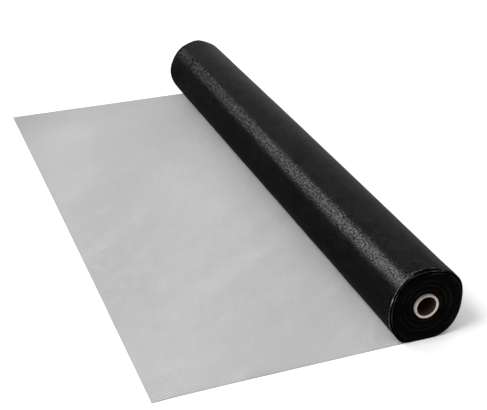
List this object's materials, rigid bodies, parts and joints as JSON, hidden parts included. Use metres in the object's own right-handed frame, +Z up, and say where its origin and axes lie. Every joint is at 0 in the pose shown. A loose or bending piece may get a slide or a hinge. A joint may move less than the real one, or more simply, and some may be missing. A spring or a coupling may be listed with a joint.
{
  "type": "insect screen mesh roll",
  "caption": "Long roll of fine black insect screen mesh on a board tube, lying down with its loose end laid out flat beside it.",
  "frame": {"origin": "middle of the underside of the whole object's box, on the surface that it lies on", "axes": "+Y along the roll, away from the end that the picture shows; +Z up; the loose end lies towards -X"},
  "size_m": [0.4528, 1.013, 0.1129],
  "materials": {
    "wound_cloth": "coated glass yarn mesh, many layers deep, satin",
    "core_board": "spirally wound bare board",
    "loose_cloth": "one open layer of coated glass yarn mesh, which covers about a third of what lies under it"
  },
  "bodies": {
    "root": {"wound_roll": "wound_cloth", "core_tube": "core_board", "loose_sheet": "loose_cloth"}
  },
  "joints": []
}
